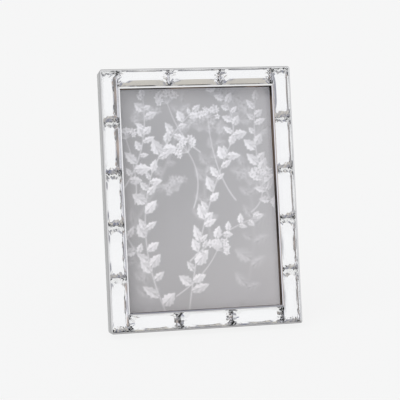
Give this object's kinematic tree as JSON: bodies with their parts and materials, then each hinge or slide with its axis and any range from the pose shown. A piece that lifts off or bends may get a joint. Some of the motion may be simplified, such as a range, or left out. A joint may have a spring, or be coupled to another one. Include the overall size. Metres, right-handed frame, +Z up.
{
  "type": "glass picture frame",
  "caption": "Free-standing picture frame: a polished metal tray set with faceted clear glass bars round a glazed print, with a folding easel strut and turn buttons behind.",
  "frame": {"origin": "middle of the footprint, on the surface that the frame stands on", "axes": "+X to the viewer's right along the frame's lower edge, +Y away from the viewer, +Z up; the frame leans back 14 degrees"},
  "size_m": [0.124, 0.0682, 0.1658],
  "materials": {
    "polished_metal": "mirror-polished silver-coloured plate",
    "bar_glass": "clear cut glass, polished facets",
    "pane_glass": "clear float glass",
    "print_paper": "printed card, pale sprigs on grey",
    "filler_card": "grey-brown card",
    "fibreboard": "fibreboard, painted black",
    "velvet_board": "fibreboard covered in black velvet",
    "plated_steel": "nickel-plated steel",
    "brass": "brassed, bright"
  },
  "bodies": {
    "frame": {"tray": "polished_metal", "surround": "fibreboard", "pane": "pane_glass", "print": "print_paper", "filler_card": "filler_card", "back_board": "velvet_board", "bar_left_1": "bar_glass", "bar_left_2": "bar_glass", "bar_left_3": "bar_glass", "bar_left_4": "bar_glass", "bar_left_5": "bar_glass", "bar_right_1": "bar_glass", "bar_right_2": "bar_glass", "bar_right_3": "bar_glass", "bar_right_4": "bar_glass", "bar_right_5": "bar_glass", "bar_top_1": "bar_glass", "bar_top_2": "bar_glass", "bar_top_3": "bar_glass", "bar_bottom_1": "bar_glass", "bar_bottom_2": "bar_glass", "bar_bottom_3": "bar_glass", "button_screw_upper_left": "plated_steel", "button_screw_lower_left": "plated_steel", "button_screw_upper_right": "plated_steel", "button_screw_lower_right": "plated_steel", "hanger_upright": "brass", "hanger_nail_upright_1": "brass", "hanger_nail_upright_2": "brass", "hanger_sideways": "brass", "hanger_nail_sideways_1": "brass", "hanger_nail_sideways_2": "brass", "hinge_leaf_board": "plated_steel", "hinge_pin": "plated_steel", "rivet_board_1": "plated_steel", "rivet_board_2": "plated_steel"},
    "easel": {"strut": "velvet_board", "hinge_leaf_strut": "plated_steel", "rivet_strut_1": "plated_steel", "rivet_strut_2": "plated_steel"},
    "turn_button_upper_left": {"button_upper_left": "plated_steel"},
    "turn_button_lower_left": {"button_lower_left": "plated_steel"},
    "turn_button_upper_right": {"button_upper_right": "plated_steel"},
    "turn_button_lower_right": {"button_lower_right": "plated_steel"}
  },
  "joints": [
    {"name": "strut_fold", "type": "hinge", "parent": "frame", "child": "easel", "pos_m": [0.00025, 0.00579, 0.09485], "axis": [0.866, 0.121, 0.4851], "range_deg": [-26, 0]},
    {"name": "turn_upper_left", "type": "hinge", "parent": "frame", "child": "turn_button_upper_left", "pos_m": [-0.05595, 0.00788, 0.11025], "axis": [0, -0.9703, 0.2419], "range_deg": [0, 90]},
    {"name": "turn_lower_left", "type": "hinge", "parent": "frame", "child": "turn_button_lower_left", "pos_m": [-0.05595, -0.00664, 0.05203], "axis": [0, 0.9703, -0.2419], "range_deg": [0, 90]},
    {"name": "turn_upper_right", "type": "hinge", "parent": "frame", "child": "turn_button_upper_right", "pos_m": [0.05595, 0.00788, 0.11025], "axis": [0, 0.9703, -0.2419], "range_deg": [0, 90]},
    {"name": "turn_lower_right", "type": "hinge", "parent": "frame", "child": "turn_button_lower_right", "pos_m": [0.05595, -0.00664, 0.05203], "axis": [0, -0.9703, 0.2419], "range_deg": [0, 90]}
  ]
}
